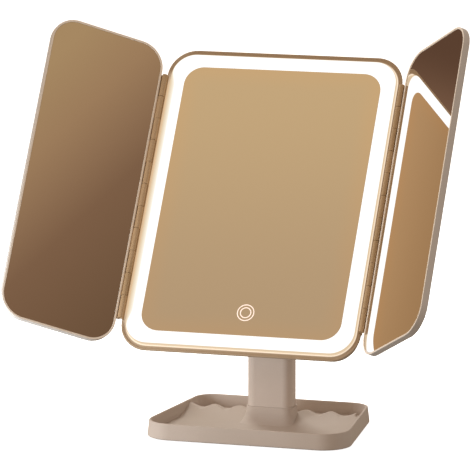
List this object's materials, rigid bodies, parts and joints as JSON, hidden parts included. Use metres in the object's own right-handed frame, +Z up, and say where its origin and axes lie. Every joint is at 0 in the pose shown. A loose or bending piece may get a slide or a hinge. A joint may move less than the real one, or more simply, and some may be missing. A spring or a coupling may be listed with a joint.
{
  "type": "lighted vanity mirror",
  "caption": "Lighted tabletop vanity mirror with a tilting rounded centre panel in a glowing border, two folding side mirrors and a post on an organiser tray.",
  "frame": {"origin": "centre of the post, on the surface that the base rests on", "axes": "+X to the right as seen by the user, +Y away from the user, +Z up; the mirror faces -Y"},
  "size_m": [0.3963, 0.2374, 0.3739],
  "materials": {
    "body_plastic": "satin moulded ABS, warm greige",
    "bezel_plastic": "satin moulded ABS, warm tan",
    "opal_acrylic": "polished opal acrylic, lit",
    "silvered_glass": "silvered float glass",
    "white_plastic": "matt white ABS",
    "dark_plastic": "matt ABS",
    "bearing_plastic": "natural acetal",
    "steel": "zinc plated",
    "rivet_alloy": "anodised",
    "foam": "closed-cell foam tape",
    "silicone": "matt silicone",
    "circuit_board": "white solder mask",
    "chips": "moulded epoxy",
    "led_phosphor": "phosphor",
    "copper": "tinned copper foil",
    "battery_foil": "laminate pouch",
    "wire_sheath": "PVC sheath"
  },
  "bodies": {
    "stand": {"anti_slip_pad": "silicone", "ballast_plate": "steel", "base_bottom_cover": "dark_plastic", "base_cover_screws": "steel", "base_tray": "body_plastic", "post_screws": "steel", "stand_post": "body_plastic", "tilt_bush": "bearing_plastic"},
    "head": {"battery_cell": "battery_foil", "battery_lead": "wire_sheath", "battery_tape": "foam", "board_components": "chips", "board_screws": "steel", "centre_mirror_glass": "silvered_glass", "control_board": "circuit_board", "friction_washers": "bearing_plastic", "head_front_bezel": "bezel_plastic", "head_rear_shell": "body_plastic", "led_chips": "led_phosphor", "led_lead": "wire_sheath", "led_strip": "circuit_board", "left_hinge_pin": "steel", "left_hinge_rail": "bezel_plastic", "left_hinge_rivets": "rivet_alloy", "light_band_diffuser": "opal_acrylic", "light_reflector_tray": "white_plastic", "mirror_backing_foam": "foam", "pivot_caps": "body_plastic", "reflector_tray_screws": "steel", "right_hinge_pin": "steel", "right_hinge_rail": "bezel_plastic", "right_hinge_rivets": "rivet_alloy", "tilt_axle_bolt": "steel", "tilt_bracket": "body_plastic", "tilt_bracket_screws": "steel", "tilt_lock_nut": "steel", "touch_contact_spring": "steel", "touch_sensor_pad": "copper", "usb_c_socket": "steel"},
    "left_wing": {"left_wing_shell": "body_plastic", "left_wing_mirror": "silvered_glass", "left_wing_foam_pad": "foam"},
    "right_wing": {"right_wing_shell": "body_plastic", "right_wing_mirror": "silvered_glass", "right_wing_foam_pad": "foam"}
  },
  "joints": [
    {"name": "head_tilt", "type": "hinge", "parent": "stand", "child": "head", "pos_m": [0, 0, 0.1894], "axis": [-1, 0, 0], "range_deg": [-33.6, 56.4]},
    {"name": "left_wing_swing", "type": "hinge", "parent": "head", "child": "left_wing", "pos_m": [-0.112, -0.03407, 0.21203], "axis": [0, 0.5534, 0.8329], "range_deg": [-36.3, 143.7]},
    {"name": "right_wing_swing", "type": "hinge", "parent": "head", "child": "right_wing", "pos_m": [0.112, -0.03407, 0.21203], "axis": [0, -0.5534, -0.8329], "range_deg": [-49.4, 130.6]}
  ]
}
